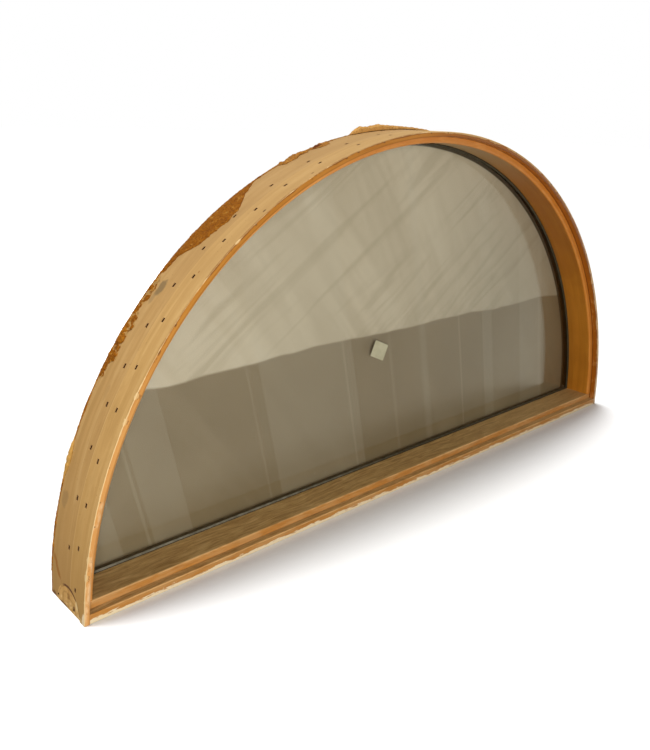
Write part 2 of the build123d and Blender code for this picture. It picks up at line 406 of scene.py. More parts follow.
def outside_of_jamb(shader, space, streaks, pores, ragged):
    """Bare outer face: darker towards the foot, with a thin seam, stains and old foam along the rear."""
    colour = bare_wood(shader, space.vector, streaks, pores)
    for none, full, share, shade in outside_shades:
        colour = shader.tint(colour, shader.step(space.z, none, full), share, shade)

    # The rear half is a little greyer, beyond a thin seam that is pale below and dark higher up
    offset = shader.minus(space.y, front_y + seam_share * frame_depth)
    offset = shader.plus(offset, shader.swing(shader.noise(space.vector, 3.0, 1.0), 9 * mm))
    colour = shader.tint(colour, shader.step(offset, 2 * mm, -1 * mm), 0.3, rgb(206, 164, 98))
    colour = shader.tint(colour, shader.step(offset, -1 * mm, 2 * mm), 0.4, rgb(180, 141, 86))
    seam = shader.between(offset, -seam_width / 2, seam_width / 2, seam_width / 2)
    low = shader.step(space.z, seam_dark_height, seam_pale_height)
    colour = shader.tint(colour, shader.times(seam, low), 0.5, rgb(222, 186, 126))
    colour = shader.tint(colour, shader.times(seam, shader.other(low)), 0.4, rgb(150, 110, 62))

    # Specks, then the single stains
    spotted = shader.step(shader.noise(space.place, 26.0, 2.0), 0.52, 0.62)
    speck = shader.times(shader.step(shader.cells(space.place, 150.0), 0.16, 0.08), spotted)
    colour = shader.tint(colour, speck, 0.45, rgb(112, 78, 40))
    for turn, y, along, deep, share, stain in outside_stains:
        spot = shader.patch(space.way, space.y, (arc(turn), y), (along, deep), shader.swing(ragged, 1.4))
        colour = shader.tint(colour, spot, share, stain)

    # Brown resin streak that runs down from the rear edge to the broken foot
    start_way = arc(streak_start[0])
    slope = Vector((arc(streak_end[0]) - start_way, streak_end[1] - streak_start[1])).normalized()
    from_way = shader.minus(space.way, start_way)
    from_y = shader.minus(space.y, streak_start[1])
    along = shader.plus(shader.times(from_way, slope.x), shader.times(from_y, slope.y))
    beside = shader.minus(shader.times(from_y, slope.x), shader.times(from_way, slope.y))
    beside = shader.plus(beside, shader.swing(shader.noise(space.place, 34.0, 2.0), 14 * mm))
    streak = shader.patch(along, beside, (streak_middle, 0.0), streak_reach, shader.swing(ragged, 1.6))
    colour = shader.tint(colour, streak, 0.7, rgb(148, 90, 24))

    # Thin brown rim of old foam at the rear edge of the left side
    rim_line = shader.plus(space.y, shader.times(ragged, 9 * mm))
    rim = shader.times(shader.step(rim_line, rear_y + 0.6 * mm, rear_y + 2.0 * mm), space.beyond(84, 92))
    return shader.tint(colour, rim, 0.85, rgb(150, 94, 32))


def slot_mouth_shade(shader, space, colour, ragged):
    """Painted shade round the mouths of the nail slots, which lie in two rows and alike on both halves."""
    from_crown = shader.math("ABSOLUTE", shader.minus(space.way, arc(90)))
    from_crown = shader.plus(from_crown, shader.swing(ragged, 3 * mm))
    across = shader.plus(space.y, shader.swing(ragged, -2 * mm))
    for row_y, ways in nail_rows():
        in_row = shader.between(across, row_y - slot_shade_width / 2, row_y + slot_shade_width / 2, 0.6 * mm)
        marks = [shader.math("COMPARE", from_crown, way, slot_shade_length / 2) for way in ways]
        colour = shader.tint(colour, shader.times(in_row, shader.most(*marks)), 0.85, rgb(80, 40, 13))
    return colour


# Flake broken off the left foot: its middle as a share of the depth, its size, its rings and its crack
flake_share = 0.48
flake_radius = 40 * mm
flake_edge = 2 * mm
flake_ring = 11 * mm
crack_end = flake_radius + 0.6 * mm
crack_width = 4 * mm

# Marks on that foot: depth, height, reach across and up, strength and colour; the dark ones at the bottom
# edge are painted shade of notches
foot_marks = (
    (-30 * mm, 20 * mm, 4 * mm, 9 * mm, 0.85, rgb(236, 204, 144)),
    (-21 * mm, 11 * mm, 3 * mm, 4 * mm, 0.85, rgb(84, 46, 16)),
    (-40 * mm, 4 * mm, 9 * mm, 4 * mm, 0.7, rgb(222, 186, 128)),
    (-57 * mm, 7 * mm, 7 * mm, 14 * mm, 0.9, rgb(244, 222, 182)),
    (14 * mm, 0.0, 13 * mm, 4.5 * mm, 0.85, rgb(96, 56, 20)),
    (-10 * mm, 0.0, 8 * mm, 3.5 * mm, 0.8, rgb(206, 160, 92)),
    (47 * mm, 1 * mm, 8 * mm, 6 * mm, 0.8, rgb(92, 54, 20)),
)


def broken_foot(shader, space, colour, streaks, ragged):
    """Left foot: pale ringed wood where a flake came off, a dark crack round it, pale marks, and dark marks
    that at the bottom edge are painted shade of notches.
    """
    foot = arc(180) - math.asin(-axis_z / outer_radius) * outer_radius
    middle = (foot, front_y + flake_share * frame_depth)
    far = shader.plus(shader.distance(space.way, space.y, middle), shader.swing(ragged, 2.4 * mm))
    inside = shader.step(far, flake_radius, flake_radius - flake_edge)
    bent = shader.plus(far, shader.swing(shader.noise(space.place, 45.0, 2.0), 26 * mm))
    rings = shader.math("SINE", shader.times(bent, 2 * math.pi / flake_ring))
    split = shader.noise(space.place, 75.0, 3.0, 0.6, 0.6)
    fresh = shader.ramp(streaks, (0.3, rgb(192, 144, 76)), (0.7, rgb(220, 174, 104)))
    fresh = shader.tint(fresh, shader.step(rings, 0.4, 1.0), 0.4, rgb(150, 100, 42))
    fresh = shader.tint(fresh, shader.step(split, 0.54, 0.66), 0.75, rgb(238, 202, 138))
    fresh = shader.tint(fresh, shader.step(split, 0.42, 0.32), 0.7, rgb(122, 76, 28))
    colour = shader.tint(colour, inside, 0.9, fresh)
    crack = shader.between(far, crack_end - crack_width, crack_end, 0.8 * mm)
    crack = shader.times(crack, shader.step(space.y, 22 * mm, 8 * mm))
    colour = shader.tint(colour, crack, 0.95, rgb(84, 42, 12))
    left = shader.step(space.x, 0.0, -0.1)
    # Pale marks, and dark ones that at the bottom edge are painted shade of notches
    for y, z, deep, high, share, mark in foot_marks:
        spot = shader.patch(space.y, space.z, (y, z), (deep, high), shader.swing(ragged, 1.2))
        colour = shader.tint(colour, shader.times(spot, left), share, mark)
    return colour


# Deep chips along the outer arris, by angle and depth, and the nail slots that cross the jamb
deep_chips = ((170.8, 7 * mm), (168.6, 3 * mm), (152.4, 5 * mm), (149.3, 6 * mm), (128.4, 4 * mm))
slot_front = 8 * mm
slot_floor = 8.5 * mm


def jamb_material():
    """Bent jamb: bare outside, stained at its room edge and inside, worn pale along the outer arris."""
    shader = Shader("jamb_wood")
    space = ArchSpace(shader)
    streaks, pores = grain(shader, space.vector, 4.0, 80.0)
    ragged = shader.noise(space.place, 90.0, 4.0, 0.65)
    bare = outside_of_jamb(shader, space, streaks, pores, ragged)
    bare = broken_foot(shader, space, bare, streaks, ragged)
    # Painted shade round the mouths of the nail slots
    bare = slot_mouth_shade(shader, space, bare, ragged)

    # Room edge: orange, lighter low on the left, darker and redder on the right as painted shade, with a
    # painted shadow line beside the stop
    low_left = space.beyond(138, 156)
    foot_left = space.beyond(158, 164)
    right_half = space.beyond(98, 84)
    low_right = space.beyond(46, 30)
    worn_part = shader.most(low_left, right_half)
    rubbed = shader.drawn(space.vector, 34.0, 110.0, 4.0, 0.65)
    stained = stained_wood(shader, space.vector, streaks, pores)
    stained = shader.tint(stained, low_left, 0.7, rgb(234, 170, 98))
    rubbed_foot = shader.times(foot_left, shader.step(rubbed, 0.46, 0.62))
    stained = shader.tint(stained, rubbed_foot, 0.8, rgb(240, 196, 142))
    # Painted shade: the right half darker and redder
    stained = shader.tint(stained, right_half, 0.7, rgb(150, 82, 17))
    # Painted shadow of the stop's setback: a dark line on the room edge, stronger on the right
    bowed = shader.plus(space.under_face, shader.swing(shader.noise(space.vector, 18.0, 2.0), 1.6 * mm))
    setback_shadow = shader.step(bowed, jamb_thickness - 2.6 * mm, jamb_thickness - 1.2 * mm)
    setback_shadow_share = shader.plus(0.3, shader.times(right_half, 0.35))
    stained = shader.tint(stained, setback_shadow, setback_shadow_share, rgb(106, 56, 13))

    # Chips and wear along the outer arris, dark at the upper left and pale elsewhere, deepest at a few places
    chips = shader.drawn(space.vector, 60.0, 160.0, 4.0, 0.7)
    uneven = shader.drawn(space.vector, 22.0, 40.0, 3.0, 0.6)
    from_arris = shader.most(space.near_front, space.under_face)
    dark_reach = shader.plus(0.6 * mm, shader.times(shader.step(uneven, 0.35, 0.7), 2.4 * mm))
    dark_arris = shader.step(shader.minus(from_arris, dark_reach), 0.4 * mm, -0.4 * mm)
    dark_arris = shader.times(dark_arris, shader.other(worn_part))
    bare = shader.tint(bare, dark_arris, 0.6, rgb(136, 84, 34))
    stained = shader.tint(stained, dark_arris, 0.65, rgb(112, 60, 18))
    chip_reach = shader.plus(0.9 * mm, shader.times(worn_part, 2.1 * mm))
    wear = shader.plus(
        shader.times(shader.step(chips, 0.46, 0.78), chip_reach),
        shader.times(worn_part, 0.8 * mm),
        shader.times(right_half, shader.step(uneven, 0.3, 0.5), 2.4 * mm),
        shader.times(low_right, shader.step(rubbed, 0.3, 0.6), 6 * mm))
    for turn, depth in deep_chips:
        beside = shader.math("ABSOLUTE", shader.minus(space.way, arc(turn)))
        wear = shader.plus(wear, shader.times(shader.step(beside, 7 * mm, 3 * mm), depth, chips))
    worn_face = shader.step(shader.minus(space.near_front, wear), 0.3 * mm, -0.1 * mm)
    bare = shader.tint(bare, worn_face, 0.85, rgb(232, 200, 144))
    past_wear = shader.minus(space.under_face, wear)
    # Painted shade: the worn arris is darker at the upper right
    upper_right = shader.times(right_half, shader.other(low_right))
    worn_tone = shader.tint(rgb(228, 188, 126), upper_right, 0.5, rgb(190, 138, 74))
    stained = shader.tint(stained, shader.step(past_wear, 0.4 * mm, 0.0), 0.8, worn_tone)
    # Painted shadow along the lower side of the deepest chips
    chip_shadow = shader.between(past_wear, 0.5 * mm, 1.9 * mm, 0.4 * mm)
    chip_shadow = shader.times(shader.step(wear, 2.6 * mm, 3.4 * mm), chip_shadow)
    stained = shader.tint(stained, chip_shadow, 0.6, rgb(122, 66, 24))
    nicks = shader.step(shader.drawn(space.vector, 110.0, 90.0, 2.0), 0.62, 0.7)
    at_arris = shader.step(from_arris, 4.5 * mm, 2.5 * mm)
    stained = shader.tint(stained, shader.times(nicks, at_arris), 0.8, rgb(96, 56, 24))

    # Inner face deeper orange, with painted shade at the stop; outer and rear faces bare; painted shade in
    # the slots
    inside = shader.step(space.outward, -0.3, -0.6)
    stained = shader.tint(stained, inside, 0.8, rgb(178, 102, 24))
    # Painted shade in the corner at the stop
    stop_corner_shade = shader.step(space.near_front, stop_setback - 3 * mm, stop_setback - 1 * mm)
    stained = shader.tint(stained, shader.times(inside, stop_corner_shade), 0.7, rgb(84, 44, 10))
    outside = shader.step(space.outward, 0.3, 0.6)
    rear = shader.step(space.normal_y, 0.4, 0.6)
    bare_side = shader.most(outside, rear)
    colour = shader.mix(bare_side, stained, bare)
    # Painted shade on the walls and floors of the nail slots
    slot_wall_shade = shader.times(
        shader.step(space.under_face, 0.1 * mm, 0.3 * mm),
        shader.other(bare_side),
        shader.step(space.near_front, slot_front, slot_front + 1 * mm),
        shader.step(space.under_face, slot_floor + 0.4 * mm, slot_floor))
    deep = shader.times(shader.step(space.under_face, 2.2 * mm, 2.6 * mm), outside)
    colour = shader.mix(shader.most(slot_wall_shade, deep), colour, rgb(52, 25, 9))

    relief = shader.plus(shader.times(streaks, 0.6), shader.times(pores, 0.4))
    rough = shader.plus(0.32, shader.times(bare_side, 0.45))
    normal = shader.bump(relief, 0.4 * mm, 0.4)
    shader.surface(Base_Color=colour, Roughness=rough, Specular_IOR_Level=0.2, Normal=normal)
    return shader.material


def stop_material():
    """Bent interior stop: stained, with a painted highlight on its rounded nose, deeper near the glass,
    greyer under the crown, with painted shade at the upper right.
    """
    shader = Shader("stop_wood")
    space = ArchSpace(shader)
    streaks, pores = grain(shader, space.vector, 3.0, 60.0)
    blotch = shader.noise(space.place, 14.0, 3.0, 0.55)
    face = shader.ramp(
        streaks, (0.28, rgb(174, 108, 28)), (0.5, rgb(186, 118, 33)), (0.72, rgb(198, 130, 42)))
    face = shader.tint(face, shader.step(blotch, 0.45, 0.7), 0.4, rgb(166, 100, 24))
    face = shader.tint(face, shader.step(pores, 0.58, 0.74), 0.25, rgb(134, 80, 22))
    face = shader.tint(face, shader.step(space.y, -5 * mm, 18 * mm), 0.3, rgb(146, 92, 28))
    # Painted shade at the upper right
    upper_right = space.sector(36, 72, 10)
    face = shader.tint(face, upper_right, 0.5, rgb(134, 74, 16))
    crown = space.sector(70, 110, 12)
    face = shader.tint(face, crown, 0.75, rgb(156, 132, 90))
    # Painted highlight on the rounded nose, stronger on the left half and uneven with wear
    worn = shader.step(shader.drawn(space.vector, 26.0, 70.0, 3.0, 0.6), 0.4, 0.7)
    pale = shader.tint(rgb(208, 128, 46), worn, 0.6, rgb(224, 150, 70))
    left_half = space.beyond(100, 120)
    pale = shader.tint(pale, left_half, 0.6, rgb(238, 172, 96))
    highlit_nose = shader.step(space.y, stop_low.y + 7 * mm, stop_low.y + 2 * mm)
    colour = shader.tint(face, highlit_nose, 0.85, pale)
    normal = shader.bump(shader.plus(streaks, pores), 0.25 * mm, 0.3)
    shader.surface(Base_Color=colour, Roughness=0.42, Specular_IOR_Level=0.25, Normal=normal)
    return shader.material


def sill_material(name, nose_y, arris_z):
    """Straight sill pieces: brown and greyed on top, orange at the room edge, cream where worn bare."""
    shader = Shader(name)
    space = ArchSpace(shader)
    wave = shader.swing(shader.drawn(space.place, 9.0, 16.0, 2.0), 26 * mm)
    wavy = shader.join(space.x, shader.plus(space.y, wave), space.z)
    streaks, pores = grain(shader, wavy, 16.0, 170.0, 0.8)
    top = shader.ramp(
        streaks, (0.3, rgb(156, 119, 67)), (0.5, rgb(191, 153, 94)), (0.7, rgb(216, 180, 120)))
    top = shader.tint(top, shader.step(pores, 0.5, 0.7), 0.5, rgb(138, 102, 54))
    top = shader.tint(top, shader.step(space.x, 0.1, 0.6), 0.35, rgb(222, 186, 128))
    edge = stained_wood(shader, space.place, streaks, pores)
    worn = shader.noise(shader.stretch(space.place, 18.0, 60.0, 90.0), 1.0, 3.0, 0.6)
    worn_share = shader.plus(0.3, shader.times(shader.step(worn, 0.4, 0.65), 0.5))
    edge = shader.mix(worn_share, edge, rgb(200, 150, 92))
    arris = shader.step(space.z, arris_z - 2.4 * mm, arris_z - 1.0 * mm)
    edge = shader.tint(edge, shader.times(arris, shader.step(worn, 0.3, 0.6)), 0.8, rgb(232, 184, 120))
    facing_room = shader.step(space.normal_y, -0.25, -0.6)
    near_nose = shader.step(space.y, nose_y + 3.5 * mm, nose_y + 0.5 * mm)
    colour = shader.mix(shader.most(facing_room, shader.times(near_nose, 0.8)), top, edge)
    chips = shader.drawn(space.place, 34.0, 200.0, 4.0, 0.7)
    bare_height = shader.plus(4.5 * mm, shader.times(shader.step(chips, 0.38, 0.72), 6 * mm))
    bare = shader.step(shader.minus(space.z, bare_height), 0.7 * mm, -0.7 * mm)
    colour = shader.tint(colour, bare, 0.95, rgb(246, 224, 182))
    normal = shader.bump(shader.plus(streaks, pores), 0.4 * mm, 0.5)
    shader.surface(Base_Color=colour, Roughness=0.5, Specular_IOR_Level=0.25, Normal=normal)
    return shader.material


def exterior_material():
    """Stops on the weather side: dry grey-brown wood."""
    shader = Shader("weather_wood")
    space = ArchSpace(shader)
    streaks, pores = grain(shader, space.vector, 5.0, 90.0)
    colour = shader.ramp(
        streaks, (0.3, rgb(140, 112, 76)), (0.5, rgb(174, 143, 100)), (0.7, rgb(194, 166, 124)))
    colour = shader.tint(colour, shader.step(pores, 0.5, 0.7), 0.5, rgb(108, 84, 54))
    normal = shader.bump(shader.plus(streaks, pores), 0.5 * mm, 0.6)
    shader.surface(Base_Color=colour, Roughness=0.75, Normal=normal)
    return shader.material


# Glass, seals and small pieces

# Room-side pane: its tints, its mirror seen straight on, and how much that gains at grazing angles
glass_tint = (0.96, 0.96, 0.94, 1.0)
mirror_tint = (0.85, 0.78, 0.64, 1.0)
mirror_least = 0.025
mirror_gain = 0.75

# Dust and painted reflection on the weather-side pane: its cover, the height where the pale reflection meets
# brown, and the painted reflection of the spacer at the pane's edge
film_cover = 0.86
film_cover_gain = 0.1
film_tint = (0.17, 0.13, 0.08, 1.0)
reflected_boundary_height = 0.315
reflected_boundary_soft = 3 * mm
reflected_boundary_swing = 30 * mm
spacer_reflection_width = 16 * mm
spacer_reflection_soft = 3 * mm


def clear_glass():
    """Room-side pane: clear, and a mirror that grows stronger towards grazing angles."""
    shader = Shader("room_side_glass")
    facing = shader.add("ShaderNodeLayerWeight")
    facing.inputs["Blend"].default_value = 0.5
    steep = shader.math("POWER", facing.outputs["Facing"], 5.0)
    mirror = shader.plus(mirror_least, shader.times(steep, mirror_gain))
    through = shader.add("ShaderNodeBsdfTransparent")
    through.inputs["Color"].default_value = glass_tint
    gloss = shader.add("ShaderNodeBsdfGlossy")
    gloss.inputs["Color"].default_value = mirror_tint
    gloss.inputs["Roughness"].default_value = 0.0
    shader.show(shader.blend(mirror, through.outputs[0], gloss.outputs[0]))
    return shader.material


def dust_and_painted_reflection_glass():
    """Weather-side pane: a dust film carrying a painted reflection, pale above and brown and thin below, with
    faint painted reflected streaks.
    """
    shader = Shader("weather_side_glass")
    space = ArchSpace(shader)
    # Painted reflection in the dust film: pale above a wavy line and brown below, with streaks and creases
    reflected_boundary_wave = shader.noise(shader.stretch(space.place, 1.0, 0.0, 0.35), 5.0, 3.0, 0.5)
    level = shader.plus(space.z, shader.swing(reflected_boundary_wave, reflected_boundary_swing))
    pale = shader.step(level, reflected_boundary_height - reflected_boundary_soft, reflected_boundary_height + reflected_boundary_soft)
    slanted = shader.join(shader.plus(space.x, shader.times(space.z, 0.7)), space.z, 0.0)
    reflected_streaks = shader.noise(shader.stretch(slanted, 7.0, 1.2, 1.0), 1.0, 4.0, 0.6, 0.8)
    crossed = shader.join(shader.minus(space.x, shader.times(space.z, 1.4)), space.z, 0.0)
    reflected_creases = shader.noise(shader.stretch(crossed, 16.0, 4.0, 1.0), 1.0, 4.0, 0.6, 1.0)
    dust = shader.noise(space.place, 4.0, 4.0, 0.6)
    upper = shader.ramp(
        reflected_streaks, (0.3, rgb(192, 178, 152)), (0.55, rgb(211, 198, 173)), (0.75, rgb(222, 211, 189)))
    upper = shader.tint(upper, shader.step(reflected_creases, 0.46, 0.66), 0.4, rgb(172, 158, 130))
    lower = shader.ramp(
        dust, (0.3, rgb(138, 121, 92)), (0.55, rgb(146, 129, 100)), (0.75, rgb(156, 140, 111)))
    lower = shader.tint(lower, shader.step(reflected_streaks, 0.5, 0.72), 0.3, rgb(166, 151, 123))
    film = shader.mix(pale, lower, upper)
    # Painted shade: darker towards the right, more in the pale part
    right_shade_share = shader.plus(0.25, shader.times(pale, 0.25))
    film = shader.tint(film, shader.step(space.x, 0.0, 0.6), right_shade_share, rgb(138, 128, 104))

    # Painted reflected bands and lines, specks of dirt, and a painted reflection of the dark spacer at the
    # edge
    leaning = shader.plus(space.x, shader.times(space.z, 0.22))
    reflected_bands = shader.noise(shader.join(shader.times(leaning, 9.0), 0.4, 0.0), 1.0, 0.0)
    film = shader.tint(film, shader.step(reflected_bands, 0.55, 0.57), 0.14, rgb(206, 198, 178))
    reflected_lines = shader.noise(shader.join(shader.times(leaning, 30.0), 0.0, 0.0), 1.0, 1.0)
    film = shader.tint(film, shader.step(reflected_lines, 0.64, 0.68), 0.18, rgb(206, 196, 172))
    specks = shader.step(shader.cells(space.place, 34.0), 0.045, 0.02)
    film = shader.tint(film, specks, 0.6, rgb(214, 206, 186))
    # Painted reflection of the dark spacer along the pane's edge
    spacer_reflection_start = rim_radius - spacer_reflection_width
    edge = shader.step(space.radius, spacer_reflection_start, spacer_reflection_start + spacer_reflection_soft)
    film = shader.tint(film, edge, 0.9, rgb(40, 33, 20))

    matt = shader.add("ShaderNodeBsdfPrincipled")
    shader.put(matt.inputs["Base Color"], film)
    matt.inputs["Roughness"].default_value = 0.3
    matt.inputs["Specular IOR Level"].default_value = 0.15
    tinted = shader.add("ShaderNodeBsdfTransparent")
    tinted.inputs["Color"].default_value = film_tint
    cover = shader.plus(film_cover, shader.times(pale, film_cover_gain))
    shader.show(shader.blend(cover, tinted.outputs[0], matt.outputs[0]))
    return shader.material


def seal_material():
    """Grey sealant strip, with painted shade where it meets the stop, paler towards the glass, and darker on
    the right as painted shade.
    """
    shader = Shader("grey_sealant")
    space = ArchSpace(shader)
    cloud = shader.noise(space.place, 60.0, 4.0, 0.6)
    grey = shader.ramp(cloud, (0.35, rgb(98, 92, 76)), (0.65, rgb(130, 124, 106)))
    # Painted shade: darker towards the right
    grey = shader.tint(grey, shader.step(space.x, -0.45, 0.1), 0.85, rgb(50, 42, 22))
    above_sill = shader.minus(space.z, sill_stop_high.z)
    inside_arch = shader.minus(stop_inner_radius, space.radius)
    from_stop = shader.math("MINIMUM", above_sill, inside_arch)
    # Painted shade where the strip meets the stop
    stop_corner_shade = shader.step(from_stop, 1.8 * mm, 0.9 * mm)
    colour = shader.tint(grey, stop_corner_shade, 0.85, rgb(34, 28, 16))
    normal = shader.bump(shader.noise(space.place, 500.0, 2.0, 0.6), 0.2 * mm, 0.5)
    shader.surface(Base_Color=colour, Roughness=0.6, Specular_IOR_Level=0.1, Normal=normal)
    return shader.material


def spacer_material():
    """Dark spacer bar, with dust on the part of its bottom run that lies away from the room-side pane."""
    shader = Shader("dark_spacer")
    space = ArchSpace(shader)
    cloud = shader.noise(space.place, 40.0, 4.0, 0.6)
    dark = shader.ramp(cloud, (0.35, rgb(20, 16, 9)), (0.65, rgb(38, 31, 18)))
    dust = shader.ramp(cloud, (0.35, rgb(104, 92, 69)), (0.65, rgb(128, 114, 88)))
    bottom = shader.step(space.z, spacer_low.z + 14 * mm, spacer_low.z + 10 * mm)
    away = shader.step(space.y, spacer_low.y + 2 * mm, spacer_low.y + 5 * mm)
    colour = shader.tint(dark, shader.times(bottom, away), 0.9, dust)
    normal = shader.bump(shader.noise(space.place, 320.0, 2.0, 0.6), 0.2 * mm, 0.5)
    shader.surface(Base_Color=colour, Roughness=0.5, Specular_IOR_Level=0.1, Normal=normal)
    return shader.material


def plain_material(name, dark, light, scale, roughness, shine=0.5):
    """Uneven material between two colours, with a fine relief."""
    shader = Shader(name)
    place = shader.add("ShaderNodeTexCoord").outputs["Object"]
    cloud = shader.noise(place, scale, 4.0, 0.6)
    colour = shader.ramp(cloud, (0.35, dark), (0.65, light))
    normal = shader.bump(shader.noise(place, 8 * scale, 2.0, 0.6), 0.2 * mm, 0.5)
    shader.surface(Base_Color=colour, Roughness=roughness, Specular_IOR_Level=shine, Normal=normal)
    return shader.material


# Where the foam bulges over the rear edge low on the left, and the painted shade in the hollow under its
# curled end
bulge_turn = math.radians(159.6)
bulge_reach = math.radians(2.6)
hollow_turn = 107.0
hollow_y = 47 * mm
hollow_reach = (13 * mm, 4 * mm)


def foam_material():
    """Aged foam: orange-brown skin, pale torn crumbs, dark open cells, worn to the wood where it is thin."""
    shader = Shader("aged_foam")
    space = ArchSpace(shader)
    cloud = shader.noise(space.place, 60.0, 4.0, 0.6)
    crumbs = shader.noise(space.place, 420.0, 3.0, 0.65)
    cell = shader.cells(space.place, 520.0)
    torn = shader.noise(space.place, 130.0, 3.0, 0.6)
    pits = shader.noise(space.place, 240.0, 2.0, 0.6)
    colour = shader.ramp(
        cloud, (0.32, rgb(122, 66, 8)), (0.5, rgb(146, 86, 12)), (0.68, rgb(168, 104, 22)))
    film = space.sector(117, 134.2, 0.5)
    colour = shader.tint(colour, film, 0.5, rgb(140, 82, 16))
    colour = shader.tint(colour, shader.step(crumbs, 0.54, 0.72), 0.4, rgb(196, 136, 50))
    colour = shader.tint(colour, shader.step(crumbs, 0.42, 0.30), 0.5, rgb(98, 54, 14))
    colour = shader.tint(colour, shader.step(pits, 0.52, 0.38), 0.55, rgb(104, 56, 8))
    shoulder = space.sector(99, 116, 1)
    colour = shader.tint(colour, shoulder, 0.35, rgb(192, 142, 76))
    torn_share = shader.minus(0.5, shader.times(film, 0.2))
    colour = shader.tint(colour, shader.step(torn, 0.58, 0.68), torn_share, rgb(214, 162, 76))

    # The crown piece is paler, with a painted highlight on its faces towards the room and a painted shade
    # line where it meets the wood
    crown = space.beyond(104, 100)
    facing_room = shader.step(space.normal_y, -0.1, -0.6)
    colour = shader.tint(colour, crown, 0.45, rgb(216, 162, 88))
    # Painted highlight on the faces towards the room
    colour = shader.tint(colour, shader.times(crown, facing_room), 0.6, rgb(230, 180, 106))
    height = shader.minus(0.0, space.under_face)
    # Painted shade along the foot of the crown piece
    foam_foot_shade = shader.times(crown, shader.step(height, 2.2 * mm, 0.8 * mm))
    colour = shader.tint(colour, foam_foot_shade, 0.75, rgb(112, 62, 20))

    # Low on the left it is worn to a trace on the wood, and pale where it bulges over the edge
    lower = space.beyond(134.6, 135.6)
    thin = shader.times(shader.step(height, 0.7 * mm, 0.3 * mm), lower)
    colour = shader.tint(colour, thin, 0.85, rgb(190, 148, 86))
    bulge = shader.between(space.turn, bulge_turn - bulge_reach, bulge_turn + bulge_reach, 0.2 * bulge_reach)
    colour = shader.tint(colour, bulge, 0.7, rgb(206, 162, 88))

    # Painted shade in the hollow under the curled end at the shoulder
    hollow_middle = (arc(hollow_turn), hollow_y)
    hollow_shade = shader.patch(space.way, space.y, hollow_middle, hollow_reach, shader.swing(crumbs, 0.8))
    colour = shader.tint(colour, hollow_shade, 0.85, rgb(84, 32, 10))
    normal = shader.bump(shader.plus(crumbs, shader.times(cell, 0.8)), 0.8 * mm, 0.7)
    shader.surface(Base_Color=colour, Roughness=0.85, Specular_IOR_Level=0.1, Normal=normal)
    return shader.material


# Crumbled foam: sizes of its voxels, lumps, crumbs and gaps, and how it lies on the wood
foam_voxel = 1.1 * mm
foam_lump_size = 9 * mm
foam_crumb_size = 3 * mm
foam_shift_size = 1.6 * foam_lump_size
foam_gap_size = 13 * mm
foam_gap_mean = 0.35
foam_gap_gain = 1.6
foam_seat = 0.2 * mm
foam_free_height = 1.2 * mm
foam_edge_width = 8 * mm

# For each node the height of its lumps and crumbs, the raggedness of its front edge,
# the share of its height that is left, and the share that is lost in the worst gaps
foam_forms = {
    "foam_lower_left": (1.2 * mm, 0.9 * mm, 9.0 * mm, 0.42, 0.95),
    "foam_upper_left": (0.5 * mm, 0.4 * mm, 3.5 * mm, 0.5, 0.0),
    "foam_shoulder": (1.5 * mm, 0.9 * mm, 4.5 * mm, 0.75, 0.7),
    "foam_crown": (1.0 * mm, 0.6 * mm, 1.5 * mm, 1.0, 0.0),
}


def remeshed(node):
    """New mesh with the node's form, in even small faces."""
    work = bmesh.new()
    work.from_mesh(node.data)
    bmesh.ops.remove_doubles(work, verts=work.verts, dist=0.001 * mm)
    mesh = bpy.data.meshes.new(node.name + "_work")
    work.to_mesh(mesh)
    work.free()
    holder = bpy.data.objects.new(node.name + "_work", mesh)
    bpy.context.scene.collection.objects.link(holder)
    modifier = holder.modifiers.new("even", "REMESH")
    modifier.mode = "VOXEL"
    modifier.voxel_size = foam_voxel
    graph = bpy.context.evaluated_depsgraph_get()
    result = bpy.data.meshes.new_from_object(holder.evaluated_get(graph))
    bpy.data.objects.remove(holder)
    bpy.data.meshes.remove(mesh)
    return result


def crumble(mesh, offset, lump_height, crumb_height, ragged, kept_share, lost_share):
    """Push the points of a foam mesh about: gaps, lumps, crumbs and a ragged front edge."""
    normals = [vertex.normal.copy() for vertex in mesh.vertices]
    least = outer_radius + foam_seat
    for vertex, normal in zip(mesh.vertices, normals):
        point = vertex.co.copy()
        radial = Vector((point.x, 0, point.z - axis_z))
        height = radial.length - outer_radius
        gap = noise.fractal((point - 3 * offset) / foam_gap_size, 1.0, 2.0, 3)
        whole = 1 - lost_share * min(1.0, max(0.0, foam_gap_mean + foam_gap_gain * gap))
        point -= radial.normalized() * max(0.0, height) * (1 - kept_share * whole)
        free = whole * min(1.0, max(0.0, height / foam_free_height))
        lump = noise.fractal((point + offset) / foam_lump_size, 1.0, 2.0, 3)
        crumb = noise.fractal((point - offset) / foam_crumb_size, 0.8, 2.0, 2)
        shift = noise.fractal((point + 2 * offset) / foam_shift_size, 1.0, 2.0, 3)
        point += normal * free * (lump_height * lump + crumb_height * crumb)
        inward = min(1.0, (rear_y - point.y) / foam_edge_width)
        point.y += ragged * shift * max(0.0, inward)
        radial = Vector((point.x, 0, point.z - axis_z))
        if radial.length < least:
            point += radial.normalized() * (least - radial.length)
        vertex.co = point


def finish_foam(mesh, name, material):
    """Object for a foam mesh, on the frame's body."""
    mesh.shade_smooth()
    mesh.materials.clear()
    mesh.materials.append(material)
    piece = bpy.data.objects.new(name, mesh)
    bpy.context.scene.collection.objects.link(piece)
    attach(piece, "root")
    return piece


def foam_piece(name, index, material):
    """Crumbled foam in the place of a plain foam node."""
    mesh = remeshed(nodes[name])
    crumble(mesh, Vector((0.37 * index, 0.11 * index, 0.53)), *foam_forms[name])
    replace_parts(finish_foam(mesh, name + "_crumbled", material), name)


